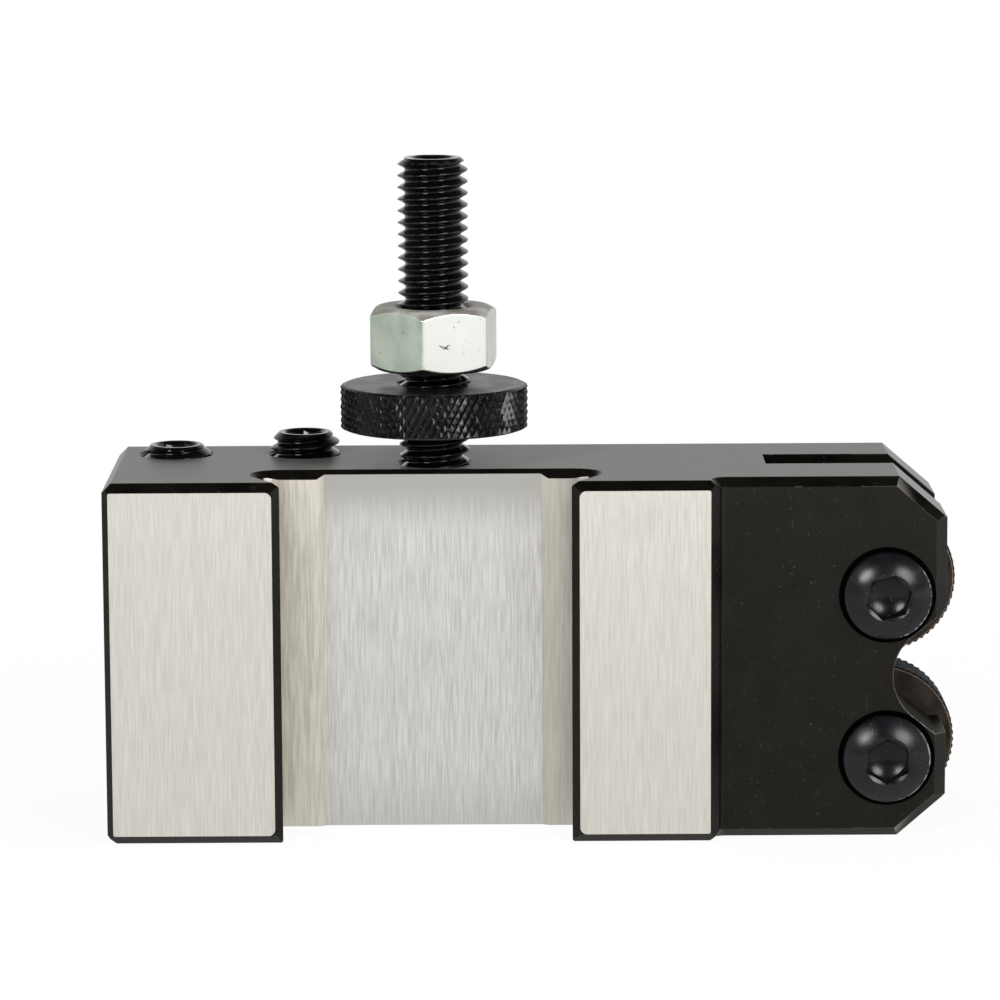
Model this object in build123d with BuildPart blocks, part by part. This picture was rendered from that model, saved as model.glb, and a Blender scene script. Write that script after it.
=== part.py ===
from build123d import *
from math import hypot, pi, radians, sin, sqrt, tan
import os

# Quick change tool holder for a lathe, for knurling, facing and turning.
# Millimetres. X runs along the holder towards the knurling wheels, Y from the dovetail face
# into the block, and Z up. The origin lies in the middle of the dovetail, in the plane of its
# ground lands and at the height of the bottom face, on which the holder stands.

# Block
body_height = 49.0
body_depth = 34.4
tool_end = 43.0           # from the dovetail's middle to the turning end
knurl_end = 69.65          # from the dovetail's middle to the knurling end
edge_break = 1.2          # chamfer along the block's outer edges
tool_end_break = 0.85     # upright chamfer at the turning end
knurl_end_break = 1.5     # upright chamfer at the end of the front cheek
back_break = 0.9          # chamfer around the back face
bevel_angle = 45.0        # of the chamfers

# Dovetail that hangs the holder on its tool post
mouth_half = 19.4         # from the middle to the narrowest place
dovetail_angle = 60.0     # of the two sloping walls
dovetail_depth = 10.8
undercut_radius = 2.8     # in the two sharp inner corners
wall_break = 0.7          # chamfer along the top and bottom of the sloping walls
lip_width = 1.05          # bevel that blunts each acute edge, along the land
lip_depth = 0.9           # the same bevel, into the block
relief_offset = 0.8       # the floor's relief lies a little off the middle
relief_width = 29.0
relief_depth = 0.6
relief_slope = 1.1        # length of the ramp at each side of the relief

# Fork that carries the wheels
land_end = 39.1           # where the second land stops
cheek_setback = 2.8       # from the lands back to the front cheek
step_radius = 1.1
front_cheek = 12.4        # thickness of the front cheek
end_cut_length = 6.5      # corners cut off the fork, top and bottom
end_cut_height = 5.63
notch_mouth = 18.2        # V in the end, where the work runs between the wheels
notch_half_angle = 38.5
notch_radius = 7.0
ear_flat = 1.5            # level top of the ear under the notch, at its tip
fork_run_out = 5.45       # from the wheels to the closed end of their slot

# Tool slot in the back of the turning end
slot_height = 16.5
slot_floor = 12.5
slot_depth = 15.5
slot_length = 48.0

# Knurling wheels and their screws
wheel_diameter = 20.4
wheel_width = 8.0
wheel_side_play = 0.1
wheel_gap = 1.8           # between the two wheels
wheel_overhang = 2.15     # how far they stand out of the end
wheel_rise = 0.7          # from the bottom face to the lower wheel
wheel_bevel = 0.5
tooth_pitch = 1.0
tooth_depth = 0.45
tooth_helix = 30.0
helix_stretches = 2       # straight stretches that stand for each helix
axle_diameter = 8.0
running_gap = 0.05        # round every piece that turns or slides
seat_gap = 0.02           # round every screw that is tight in its hole
axle_head_diameter = 11.7
axle_head_height = 2.7
axle_head_rim = 0.6       # upright part of the head's edge
axle_head_flat = 7.2      # flat ring round the socket
axle_tip_inset = 1.4      # from the back face in to the screw's end
axle_bevel = 0.8
axle_socket = 5.5
axle_socket_depth = 3.0
axle_turn_lower = 30.0    # degrees that each hexagon socket is turned
axle_turn_upper = 15.5

# Height stud and its two nuts
stud_diameter = 9.525
stud_offset = 1.03        # from the dovetail's middle
stud_set_in = 17.8        # from the lands to the stud's axis
stud_above = 41.6
stud_below = 13.5
stud_bevel = 0.9
stud_cup = 2.4            # radius of the cup in its point
stud_socket = 4.76
stud_socket_depth = 5.0
nut_lift = 4.85           # from the block up to the height nut
nut_diameter = 25.5
nut_thickness = 6.0
nut_bevel = 0.25
nut_mouth = 10.6          # countersink at both ends of a nut's thread
lock_nut_gap = 2.05
lock_nut_across = 15.9
lock_nut_height = 8.6
lock_nut_turn = 21.5      # degrees that it is turned on the stud
lock_nut_face = 15.0      # circle inside which its two ends are flat
crown_angle = 30.0        # of the cone that takes off its corners

# Set screws that clamp the tool
clamp_diameter = 9.525
clamp_length = 19.05
clamp_from_end = 8.4      # from the turning end to the first screw
clamp_spacing = 17.7
clamp_rise_outer = 1.35
clamp_rise_inner = 3.05
clamp_bevel = 1.2
clamp_socket = 4.76
clamp_socket_depth = 5.5
clamp_cup = 2.6           # radius of the cup in its point
drill_angle = 59.0        # half of a drill's point
hole_mouth = 0.4          # countersink at the mouth of a threaded hole

# Places that follow from the sizes above
slope = tan(radians(dovetail_angle))
floor_half = mouth_half + (dovetail_depth - lip_depth) / slope
wall_flare = wall_break / sin(radians(dovetail_angle))
flare_reach = 2 * edge_break
flare_front = mouth_half - (flare_reach + lip_depth) / slope + wall_flare
flare_back = floor_half + edge_break / slope + wall_flare
cheek_y = cheek_setback
fork_front = cheek_y + front_cheek
fork_width = wheel_width + 2 * wheel_side_play
wheel_radius = wheel_diameter / 2
axle_x = knurl_end + wheel_overhang - wheel_radius
lower_axle_z = wheel_rise + wheel_radius
upper_axle_z = lower_axle_z + wheel_diameter + wheel_gap
fork_closed_end = axle_x - wheel_radius - fork_run_out
notch_z = (lower_axle_z + upper_axle_z) / 2
notch_apex = knurl_end - notch_mouth / 2 / tan(radians(notch_half_angle))
slot_ceiling = slot_floor + slot_height
clamp_y = body_depth - slot_depth / 2
outer_clamp_x = clamp_from_end - tool_end
inner_clamp_x = outer_clamp_x + clamp_spacing
nut_bottom = body_height + nut_lift
lock_nut_bottom = nut_bottom + nut_thickness + lock_nut_gap
nut_mouth_cut = nut_mouth / 2 - stud_diameter / 2 - running_gap

os.makedirs("parts", exist_ok=True)


def bevel_strip(corner, first, second):
    """A triangle that takes the corner off a plan outline, from one point to another."""
    Polygon(corner, first, second, align=None)


# Block: the plan outline first, with the dovetail, then the chamfers, the fork and the tool slot
with BuildPart() as holder_body:
    with BuildSketch() as plan:
        with BuildLine():
            Polyline(
                (-tool_end, 0),
                (-mouth_half + lip_depth / slope, 0),
                (-floor_half, dovetail_depth),
                (floor_half, dovetail_depth),
                (mouth_half - lip_depth / slope, 0),
                (land_end, 0),
                (land_end, cheek_y),
                (knurl_end, cheek_y),
                (knurl_end, body_depth),
                (-tool_end, body_depth),
                close=True,
            )
        make_face()
        inner_corners = plan.vertices().filter_by_position(Axis.Y, dovetail_depth, dovetail_depth)
        fillet(inner_corners, undercut_radius)
        step_corner = plan.vertices().filter_by_position(Axis.Y, cheek_y, cheek_y).sort_by(Axis.X)[0]
        fillet(step_corner, step_radius)
    extrude(amount=body_height)

    # The fork's two outer corners are cut off square through both cheeks
    with BuildSketch(Plane.XZ) as end_cuts:
        for corner_z, inward in ((0, 1), (body_height, -1)):
            bevel_strip(
                (knurl_end, corner_z),
                (knurl_end - end_cut_length, corner_z),
                (knurl_end, corner_z + inward * end_cut_height),
            )
    extrude(amount=-body_depth, mode=Mode.SUBTRACT)

    # Chamfer along the top and bottom of the whole outline, and down the fork's cut corners
    slanting = 0.1  # least part of an edge's direction that counts
    rims = holder_body.faces().filter_by(Axis.Z).sort_by(Axis.Z)
    top_and_bottom = rims[0].outer_wire().edges() + rims[-1].outer_wire().edges()
    fork_cuts = [
        edge
        for edge in holder_body.edges().filter_by_position(Axis.Y, cheek_y, cheek_y)
        if edge.center().X > knurl_end - end_cut_length
        and abs(edge.tangent_at(0.5).X) > slanting
        and abs(edge.tangent_at(0.5).Z) > slanting
    ]
    front_rims = [
        edge
        for edge in top_and_bottom
        if edge.center().Y < body_depth - back_break
        and edge.center().X < knurl_end - end_cut_length
        and not (abs(edge.center().X) < floor_half and edge.center().Y > lip_depth)
    ]
    chamfer(front_rims + fork_cuts, edge_break)
    back_face = holder_body.faces().sort_by(Axis.Y)[-1]
    chamfer(back_face.outer_wire().edges(), back_break)

    # The upright edges are blunted by straight cuts over the full height
    with BuildSketch() as upright_breaks:
        for side in (-1, 1):
            bevel_strip(
                (side * (mouth_half - lip_depth / slope), 0),
                (side * (mouth_half + lip_width), 0),
                (side * mouth_half, lip_depth),
            )
        bevel_strip((-tool_end, 0), (-tool_end + tool_end_break, 0), (-tool_end, tool_end_break))
        bevel_strip((land_end, 0), (land_end - edge_break, 0), (land_end, edge_break))
        bevel_strip(
            (knurl_end, cheek_y),
            (knurl_end - knurl_end_break, cheek_y),
            (knurl_end, cheek_y + knurl_end_break),
        )
    extrude(amount=body_height, mode=Mode.SUBTRACT)

    # The recess flares out at the top and the bottom, wider over its floor than over its walls
    for flare_plane, inward in ((Plane.XY.offset(body_height), -1), (Plane.XY, 1)):
        with BuildSketch(flare_plane) as flare:
            with BuildLine():
                Polyline(
                    (-flare_front, -flare_reach),
                    (-flare_back, dovetail_depth + edge_break),
                    (flare_back, dovetail_depth + edge_break),
                    (flare_front, -flare_reach),
                    close=True,
                )
            make_face()
            deep_corners = flare.vertices().sort_by(Axis.Y)[-2:]
            fillet(deep_corners, undercut_radius + edge_break)
        extrude(amount=inward * edge_break, taper=bevel_angle, mode=Mode.SUBTRACT)

    # Shallow relief along the middle of the dovetail's floor, with a ramp at each side
    with BuildSketch() as relief:
        with BuildLine():
            Polyline(
                (relief_offset - relief_width / 2 - relief_slope, dovetail_depth),
                (relief_offset - relief_width / 2, dovetail_depth + relief_depth),
                (relief_offset + relief_width / 2, dovetail_depth + relief_depth),
                (relief_offset + relief_width / 2 + relief_slope, dovetail_depth),
                close=True,
            )
        make_face()
    extrude(amount=body_height, mode=Mode.SUBTRACT)

    # Slot between the cheeks, open at the top, the bottom and the end
    with BuildSketch() as fork_slot:
        with Locations((fork_closed_end, fork_front)):
            Rectangle(knurl_end, fork_width, align=(Align.MIN, Align.MIN))
    extrude(amount=body_height, mode=Mode.SUBTRACT)

    # Rounded V in the end of both cheeks
    with BuildSketch(Plane.XZ) as end_notch:
        reach = knurl_end - notch_apex
        ear_drop = (reach - ear_flat) * tan(radians(notch_half_angle))
        with BuildLine():
            Polyline(
                (notch_apex, notch_z),
                (notch_apex + 2 * reach, notch_z + notch_mouth),
                (notch_apex + 2 * reach, notch_z - ear_drop),
                (knurl_end - ear_flat, notch_z - ear_drop),
                close=True,
            )
        make_face()
        fillet(end_notch.vertices().sort_by(Axis.X)[0], notch_radius)
    extrude(amount=-body_depth, mode=Mode.SUBTRACT)

    # Tool slot, milled in from the back with a round-ended cutter
    with BuildSketch(Plane.XZ.offset(-body_depth)) as tool_slot:
        with Locations((-tool_end - slot_height, slot_floor)):
            Rectangle(slot_length + slot_height, slot_height, align=(Align.MIN, Align.MIN))
        fillet(tool_slot.vertices().group_by(Axis.X)[-1], slot_height / 2 - seat_gap)
    extrude(amount=slot_depth, mode=Mode.SUBTRACT)

    # Screw holes: two down into the tool slot, one blind for the stud, two through the fork
    with Locations(
        (outer_clamp_x, clamp_y, body_height),
        (inner_clamp_x, clamp_y, body_height),
    ):
        Hole(clamp_diameter / 2 + running_gap, depth=body_height - slot_ceiling + slot_height / 2)
    with BuildSketch(Plane.XY.offset(body_height - stud_below)) as stud_hole:
        with Locations((stud_offset, stud_set_in)):
            Circle(stud_diameter / 2 + seat_gap)
    extrude(amount=stud_below, mode=Mode.SUBTRACT)
    screw_mouths = holder_body.faces().sort_by(Axis.Z)[-1].inner_wires().edges()
    chamfer(screw_mouths, hole_mouth)
    with BuildSketch(Plane.XZ) as axle_holes:
        with Locations((axle_x, lower_axle_z), (axle_x, upper_axle_z)):
            Circle(axle_diameter / 2 + seat_gap)
    extrude(amount=-body_depth, mode=Mode.SUBTRACT)
holder_body.part.label = "holder_body"
export_step(holder_body.part, "parts/holder_body.step")


def screw_blank(diameter, length, bevel, cup_radius):
    """Half section of a headless screw on the Z axis, with its top at zero."""
    radius = diameter / 2
    cup_depth = cup_radius / tan(radians(drill_angle))
    Polygon(
        (0, 0),
        (radius - bevel, 0),
        (radius, -bevel),
        (radius, bevel - length),
        (radius - bevel, -length),
        (cup_radius, -length),
        (0, cup_depth - length),
        align=None,
    )


# Height stud: a headless screw that stands in a blind hole in the block's top
stud_top = body_height + stud_above
with BuildPart() as height_stud:
    with BuildSketch(Plane.XZ.offset(-stud_set_in)) as stud_section:
        with Locations((stud_offset, stud_top)):
            screw_blank(stud_diameter, stud_above + stud_below, stud_bevel, stud_cup)
    stud_axis = Axis((stud_offset, stud_set_in, 0), (0, 0, 1))
    revolve(axis=stud_axis)
    with BuildSketch(Plane.XY.offset(stud_top)) as stud_key:
        with Locations((stud_offset, stud_set_in)):
            RegularPolygon(stud_socket / 2, 6, major_radius=False)
    extrude(amount=-stud_socket_depth, mode=Mode.SUBTRACT)
height_stud.part.label = "height_stud"
export_step(height_stud.part, "parts/height_stud.step")

# Height nut: a turned disc with a knurled rim, which sets the tool's height on the post
with BuildPart() as height_nut:
    with BuildSketch(Plane.XY.offset(nut_bottom)) as nut_disc:
        with Locations((stud_offset, stud_set_in)):
            Circle(nut_diameter / 2)
            Circle(stud_diameter / 2 + running_gap, mode=Mode.SUBTRACT)
    extrude(amount=nut_thickness)
    round_edges = height_nut.edges().filter_by(GeomType.CIRCLE)
    rim_edges = [edge for edge in round_edges if edge.radius > nut_mouth / 2]
    thread_edges = [edge for edge in round_edges if edge.radius < nut_mouth / 2]
    chamfer(rim_edges, nut_bevel)
    chamfer(thread_edges, nut_mouth_cut)
height_nut.part.label = "height_nut"
export_step(height_nut.part, "parts/height_nut.step")

# Lock nut: a hexagon nut with crowned corners, jammed down on the height nut once it is set
with BuildPart() as lock_nut:
    lock_nut_corner = lock_nut_across / sqrt(3)
    with BuildSketch(Plane.XY.offset(lock_nut_bottom)) as hexagon:
        with Locations((stud_offset, stud_set_in)):
            RegularPolygon(lock_nut_across / 2, 6, major_radius=False, rotation=lock_nut_turn)
            Circle(stud_diameter / 2 + running_gap, mode=Mode.SUBTRACT)
    extrude(amount=lock_nut_height)
    chamfer(lock_nut.edges().filter_by(GeomType.CIRCLE), nut_mouth_cut)
    face_reach = stud_offset + lock_nut_face / 2
    corner_reach = stud_offset + lock_nut_corner
    crown_drop = (corner_reach - face_reach) * tan(radians(crown_angle))
    lock_nut_top = lock_nut_bottom + lock_nut_height
    with BuildSketch(Plane.XZ.offset(-stud_set_in)) as crown_section:
        Polygon(
            (stud_offset, lock_nut_bottom),
            (face_reach, lock_nut_bottom),
            (corner_reach, lock_nut_bottom + crown_drop),
            (corner_reach, lock_nut_top - crown_drop),
            (face_reach, lock_nut_top),
            (stud_offset, lock_nut_top),
            align=None,
        )
    revolve(axis=stud_axis, mode=Mode.INTERSECT)
lock_nut.part.label = "lock_nut"
export_step(lock_nut.part, "parts/lock_nut.step")

# Clamp screws: headless cup-point screws that press the tool down in its slot
for name, clamp_x, rise in (
    ("clamp_screw_outer", outer_clamp_x, clamp_rise_outer),
    ("clamp_screw_inner", inner_clamp_x, clamp_rise_inner),
):
    clamp_top = body_height + rise
    with BuildPart() as clamp_screw:
        with BuildSketch(Plane.XZ.offset(-clamp_y)) as clamp_section:
            with Locations((clamp_x, clamp_top)):
                screw_blank(clamp_diameter, clamp_length, clamp_bevel, clamp_cup)
        revolve(axis=Axis((clamp_x, clamp_y, 0), (0, 0, 1)))
        with BuildSketch(Plane.XY.offset(clamp_top)) as clamp_key:
            with Locations((clamp_x, clamp_y)):
                RegularPolygon(clamp_socket / 2, 6, major_radius=False)
        extrude(amount=-clamp_socket_depth, mode=Mode.SUBTRACT)
    clamp_screw.part.label = name
    export_step(clamp_screw.part, f"parts/{name}.step")

# Knurling wheels: hardened rollers with slanting teeth. Crests and roots follow their helices
# in straight stretches, and the crests stop short of the sides, which bevels the tooth ends.
tooth_count = round(pi * wheel_diameter / tooth_pitch)
tooth_step = 360 / tooth_count
helix_lead = 2 * pi * wheel_radius / tan(radians(tooth_helix))
crest_length = wheel_width - 2 * wheel_bevel
crest_lag = 360 * wheel_bevel / helix_lead
root_helix = Edge.make_helix(helix_lead, wheel_width, wheel_radius - tooth_depth)
crest_helix = Edge.make_helix(helix_lead, crest_length, wheel_radius)
crest_helix = Pos(0, 0, wheel_bevel) * Rot(0, 0, crest_lag) * crest_helix


def tooth_line(helix, turn):
    """Points along one crest or root, at equal steps from side to side."""
    turned = Rot(0, 0, turn) * helix
    return [turned @ (step / helix_stretches) for step in range(helix_stretches + 1)]


def flank(first, second):
    """Flat triangles that fill the strip between a crest and a root."""
    corners = []
    for step in range(helix_stretches):
        corners.append((first[step], second[step], second[step + 1]))
        corners.append((first[step], second[step + 1], first[step + 1]))
    return [Face(Wire.make_polygon(corner)) for corner in corners]


roots = [tooth_line(root_helix, tooth * tooth_step) for tooth in range(tooth_count)]
crests = [tooth_line(crest_helix, (tooth + 0.5) * tooth_step) for tooth in range(tooth_count)]
skin = []
for tooth, crest in enumerate(crests):
    root = roots[tooth]
    next_root = roots[(tooth + 1) % tooth_count]
    skin.extend(flank(root, crest) + flank(crest, next_root))
    for side in (0, -1):
        skin.append(Face(Wire.make_polygon([root[side], crest[side], next_root[side]])))
for side in (0, -1):
    skin.append(Face(Wire.make_polygon([root[side] for root in roots])))
right_hand_roller = Solid(Shell(skin))

# One wheel is right-hand and the other left-hand, so that together they roll a diamond pattern
for name, axle_z, roller in (
    ("knurl_wheel_lower", lower_axle_z, right_hand_roller),
    ("knurl_wheel_upper", upper_axle_z, right_hand_roller.mirror(Plane.XZ)),
):
    with BuildPart() as knurl_wheel:
        wheel_front = (axle_x, fork_front + wheel_side_play, axle_z)
        with Locations(Plane(wheel_front, x_dir=(1, 0, 0), z_dir=(0, 1, 0))):
            add(roller)
            Hole(axle_diameter / 2 + running_gap)
    knurl_wheel.part.label = name
    export_step(knurl_wheel.part, f"parts/{name}.step")

# Axle screws: button-head screws whose plain shanks carry the wheels between the cheeks. The
# head is a zone of a sphere whose centre lies on the screw's axis.
axle_tip = body_depth - axle_tip_inset
head_radius = axle_head_diameter / 2
flat_radius = axle_head_flat / 2
dome_drop = axle_head_height - axle_head_rim
dome_centre = (head_radius**2 - flat_radius**2 + dome_drop**2) / (2 * dome_drop)
dome_radius = hypot(flat_radius, dome_centre)
head_top = cheek_y - axle_head_height
for name, axle_z, socket_turn in (
    ("axle_screw_lower", lower_axle_z, axle_turn_lower),
    ("axle_screw_upper", upper_axle_z, axle_turn_upper),
):
    with BuildPart() as axle_screw:
        with BuildSketch(Plane.XY.offset(axle_z)) as screw_section:
            with BuildLine():
                flat_edge = (axle_x + flat_radius, head_top)
                dome_edge = (axle_x + head_radius, head_top + dome_drop)
                RadiusArc(flat_edge, dome_edge, -dome_radius)
                Polyline(
                    dome_edge,
                    (axle_x + head_radius, cheek_y),
                    (axle_x + axle_diameter / 2, cheek_y),
                    (axle_x + axle_diameter / 2, axle_tip - axle_bevel),
                    (axle_x + axle_diameter / 2 - axle_bevel, axle_tip),
                    (axle_x, axle_tip),
                    (axle_x, head_top),
                    flat_edge,
                )
            make_face()
        revolve(axis=Axis((axle_x, 0, axle_z), (0, 1, 0)))
        with BuildSketch(Plane.XZ.offset(-head_top)) as axle_key:
            with Locations((axle_x, axle_z)):
                RegularPolygon(axle_socket / 2, 6, major_radius=False, rotation=socket_turn)
        extrude(amount=-axle_socket_depth, mode=Mode.SUBTRACT)
    axle_screw.part.label = name
    export_step(axle_screw.part, f"parts/{name}.step")
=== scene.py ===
import bmesh
import bpy
from math import cos, pi, radians, sin, sqrt, tan
from random import Random
from mathutils import Matrix, Vector


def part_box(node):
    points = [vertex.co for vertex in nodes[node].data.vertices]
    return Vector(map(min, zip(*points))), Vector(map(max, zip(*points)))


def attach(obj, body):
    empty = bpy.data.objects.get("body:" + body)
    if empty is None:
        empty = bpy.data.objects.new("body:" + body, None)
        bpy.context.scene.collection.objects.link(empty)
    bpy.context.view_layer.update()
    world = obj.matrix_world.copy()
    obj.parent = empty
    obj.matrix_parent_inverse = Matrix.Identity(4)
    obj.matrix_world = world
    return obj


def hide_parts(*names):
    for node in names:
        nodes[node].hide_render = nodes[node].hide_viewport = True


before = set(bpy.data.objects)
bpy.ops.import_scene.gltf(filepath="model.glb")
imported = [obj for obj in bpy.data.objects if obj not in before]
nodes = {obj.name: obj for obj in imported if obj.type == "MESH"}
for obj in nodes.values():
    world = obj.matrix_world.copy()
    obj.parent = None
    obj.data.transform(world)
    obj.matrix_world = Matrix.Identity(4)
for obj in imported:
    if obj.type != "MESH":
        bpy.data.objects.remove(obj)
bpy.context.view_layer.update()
MM = 0.001


# Holder block. One piece of steel, milled all over, blackened, and then ground where it meets the
# tool post, so that bare steel shows on the two lands and inside the dovetail. Every sharp edge
# is broken with a fine file, and the broken edges have rubbed bright here and there.
block_low, block_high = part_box("holder_body")
fine_bevel = 0.14 * MM
edge_break = 1.2 * MM        # the ground patches end this far inside the block's edges
tool_end_break = 0.85 * MM
mouth_half = 19.4 * MM
lip_width = 1.05 * MM
land_end = 39.1 * MM
lip_corner = 0.95 * MM
outer_corner = 0.3 * MM
flank_corner = 0.2 * MM
far_past = 4.0 * MM          # a patch runs on this far where its corners aren't wanted
floor_depth = 10.8 * MM
floor_middle = 10.6 * MM     # the dovetail's floor and its relief lie within floor_reach of it
floor_reach = 1.0 * MM
flank_deep_end = 7.3 * MM
dovetail_half = 25.4 * MM
fork_start = 58.0 * MM
notch_start = 59.5 * MM
notch_half = 9.3 * MM
notch_middle = 22.0 * MM
notch_corner = 1.0 * MM
notch_low = 16.0 * MM
notch_low_reach = 3.0 * MM
# Size and depth reach of the ring of painted shade round the axle screws' heads
shade_ring_radius = 6.5 * MM
shade_ring_reach = 3.0 * MM
axle_boxes = (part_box("axle_screw_lower"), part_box("axle_screw_upper"))

# Each pair holds the darkest and the palest tone of a finish
land_tones = (0.58, 0.55, 0.50, 1), (0.722, 0.689, 0.633, 1)
recess_tones_with_shade = (0.486, 0.457, 0.394, 1), (0.659, 0.626, 0.554, 1)
relief_tones_with_shade = (0.485, 0.48, 0.457, 1), (0.694, 0.683, 0.654, 1)
oxide_tones = (0.0016, 0.0014, 0.001, 1), (0.0036, 0.0031, 0.0022, 1)
relief_end_shade_tone = (0.41, 0.403, 0.379, 1)
far_recess_tone = (0.395, 0.38, 0.34, 1)
top_sheen_tone = (0.105, 0.099, 0.096, 1)
speck_tone = (0.22, 0.19, 0.15, 1)
rubbed_edge_and_highlight_tone = (0.36, 0.34, 0.31, 1)
head_ring_shade_tone = (0.001, 0.001, 0.001, 1)
oxide_tint = (1.0, 0.96, 0.84, 1)


def set_socket(tree, socket, value):
    """Gives a socket another node's output, or a constant."""
    if isinstance(value, bpy.types.NodeSocket):
        tree.links.new(value, socket)
    else:
        socket.default_value = value


def add_node(tree, kind, sockets=None, **settings):
    """Adds one shader node; each named socket takes a constant or another node's output."""
    made = tree.nodes.new("ShaderNode" + kind)
    for name, value in settings.items():
        setattr(made, name, value)
    for name, value in (sockets or {}).items():
        set_socket(tree, made.inputs[name], value)
    return made


def feed(tree, node, **sockets):
    """Sets a node's sockets by name, each to a constant or to another node's output."""
    for name, value in sockets.items():
        set_socket(tree, node.inputs[name.replace("_", " ")], value)


def calculate(tree, operation, first, second=0.0, third=0.0):
    """One sum on up to three values, such as a product or a comparison."""
    return add_node(tree, "Math", {0: first, 1: second, 2: third}, operation=operation).outputs[0]


def all_of(tree, *masks):
    """Shows where all of several masks show: their product."""
    result = masks[0]
    for mask in masks[1:]:
        result = calculate(tree, "MULTIPLY", result, mask)
    return result


def any_of(tree, *masks):
    """Shows where any of several masks shows: the strongest of them."""
    result = masks[0]
    for mask in masks[1:]:
        result = calculate(tree, "MAXIMUM", result, mask)
    return result


def within(tree, value, middle, reach):
    """A mask of where a value lies no further than a reach from a middle."""
    return calculate(tree, "COMPARE", value, middle, reach)


def ramp(tree, value, start, end, low=0.0, high=1.0):
    """Takes a value smoothly from one level to another between two limits."""
    sockets = {"Value": value, "From Min": start, "From Max": end, "To Min": low, "To Max": high}
    return add_node(tree, "MapRange", sockets, interpolation_type="SMOOTHSTEP").outputs["Result"]


def blend(tree, share, first, second, kind="RGBA"):
    """Mixes two colours by a mask, or two numbers or normals where the kind says so."""
    first_input, output = {"FLOAT": (2, 0), "VECTOR": (4, 1), "RGBA": (6, 2)}[kind]
    sockets = {0: share, first_input: first, first_input + 1: second}
    return add_node(tree, "Mix", sockets, data_type=kind).outputs[output]


def noise(tree, place, scale, detail):
    """A cloudy pattern, whose values lie about 0.5."""
    sockets = {"Vector": place, "Scale": scale, "Detail": detail}
    return add_node(tree, "TexNoise", sockets).outputs["Fac"]


def fine_relief(tree, height, distance, strength):
    """The normals of a relief too fine for the mesh."""
    sockets = {"Height": height, "Distance": distance, "Strength": strength}
    return add_node(tree, "Bump", sockets).outputs["Normal"]


def read_surface(tree):
    """The place on a piece, the three parts of that place, and the three of the way it faces."""
    coordinates = add_node(tree, "TexCoord").outputs
    place_parts = add_node(tree, "SeparateXYZ", {0: coordinates["Object"]}).outputs
    facing_parts = add_node(tree, "SeparateXYZ", {0: coordinates["Normal"]}).outputs
    return coordinates["Object"], place_parts, facing_parts


def start_group(name, inputs, outputs):
    """An empty node group; returns its tree, its inputs by name and a function that sets outputs."""
    tree = bpy.data.node_groups.new(name, "ShaderNodeTree")
    for label, default in inputs.items():
        kind = "NodeSocketVector" if label == "Place" else "NodeSocketFloat"
        socket = tree.interface.new_socket(label, in_out="INPUT", socket_type=kind)
        if default is not None:
            socket.default_value = default
    for label in outputs:
        tree.interface.new_socket(label, in_out="OUTPUT", socket_type="NodeSocketFloat")
    entry = tree.nodes.new("NodeGroupInput")
    exit_node = tree.nodes.new("NodeGroupOutput")

    def give(label, value):
        tree.links.new(value, exit_node.inputs[label])

    return tree, entry.outputs, give


def use_group(tree, group, **sockets):
    """Places a node group in a material with its own values."""
    placed = tree.nodes.new("ShaderNodeGroup")
    placed.node_tree = group
    feed(tree, placed, **sockets)
    return placed.outputs


def start_material(name):
    """A new node material; returns it with its tree and its surface shader."""
    material = bpy.data.materials.new(name)
    material.use_nodes = True
    tree = material.node_tree
    return material, tree, tree.nodes["Principled BSDF"]


# Effect: grain that a grinding wheel or a file leaves, long along Z and very narrow across
grain_group, grain_in, grain_out = start_group(
    "ground grain", {"Place": None, "Fineness": 4300.0, "Length": 0.045}, ("Tone", "Height")
)
stretch = add_node(grain_group, "CombineXYZ", {"X": 1.0, "Y": 1.0, "Z": grain_in["Length"]}).outputs[0]
drawn_out = add_node(
    grain_group, "VectorMath", {0: grain_in["Place"], 1: stretch}, operation="MULTIPLY"
).outputs[0]
fine_grain = noise(grain_group, drawn_out, grain_in["Fineness"], 4.0)
broad_scale = calculate(grain_group, "MULTIPLY", grain_in["Fineness"], 0.22)
broad_grain = noise(grain_group, drawn_out, broad_scale, 2.0)
grain_sum = calculate(grain_group, "MULTIPLY", fine_grain, 0.8)
grain_sum = calculate(grain_group, "MULTIPLY_ADD", broad_grain, 0.2, grain_sum)
grain_out("Tone", ramp(grain_group, grain_sum, 0.3, 0.7))
grain_out("Height", fine_grain)

# Effect: clouding, tiny pale specks and hair scratches of a blackened surface
oxide_group, oxide_in, oxide_out = start_group(
    "blackened surface", {"Place": None, "Scale": 260.0}, ("Cloud", "Specks", "Height")
)
cloud = noise(oxide_group, oxide_in["Place"], oxide_in["Scale"], 5.0)
speck_scale = calculate(oxide_group, "MULTIPLY", oxide_in["Scale"], 9.0)
speck_noise = noise(oxide_group, oxide_in["Place"], speck_scale, 2.0)
specks = ramp(oxide_group, speck_noise, 0.70, 0.76)
hairs = []
for slant, thinness in ((35.0, 34.0), (-62.0, 26.0)):
    turned = add_node(
        oxide_group,
        "Mapping",
        {"Vector": oxide_in["Place"], "Rotation": (0.0, radians(slant), 0.0), "Scale": (thinness, 1.0, 1.6)},
    ).outputs[0]
    hairs.append(ramp(oxide_group, noise(oxide_group, turned, oxide_in["Scale"], 1.0), 0.755, 0.79))
scratches = all_of(oxide_group, any_of(oxide_group, *hairs), ramp(oxide_group, cloud, 0.45, 0.6))
oxide_out("Cloud", ramp(oxide_group, cloud, 0.3, 0.7))
oxide_out("Specks", any_of(oxide_group, specks, scratches))
oxide_out("Height", speck_noise)

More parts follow.
